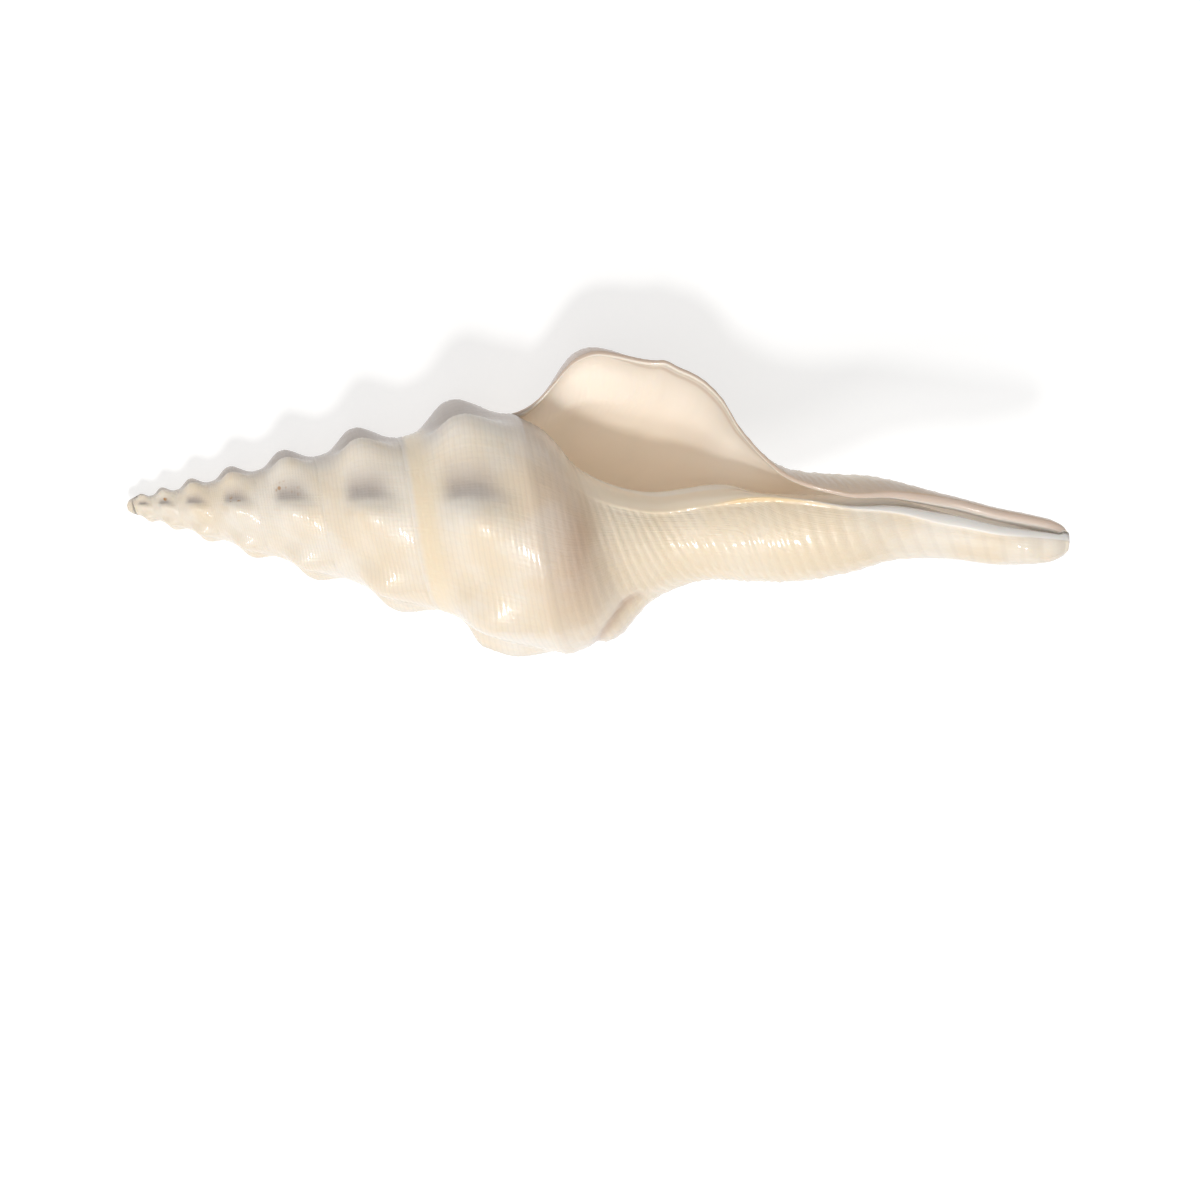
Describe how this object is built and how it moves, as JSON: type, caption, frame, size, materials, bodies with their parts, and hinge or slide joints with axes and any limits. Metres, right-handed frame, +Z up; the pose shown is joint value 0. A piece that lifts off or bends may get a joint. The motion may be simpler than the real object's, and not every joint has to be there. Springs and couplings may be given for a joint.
{
  "type": "spindle shell",
  "caption": "Spindle-shaped conch-like sea shell with a ribbed spire, an open aperture and a long canal, lying on its back.",
  "frame": {"origin": "centre of the bounding box's bottom face, where the shell rests", "axes": "+X from apex to canal, in plan; +Z up, aperture facing up"},
  "size_m": [0.1296, 0.0446, 0.0445],
  "materials": {
    "shell": "glossy cream porcelain-like aragonite, with fine spiral threads"
  },
  "bodies": {
    "root": {"shell": "shell"}
  },
  "joints": []
}
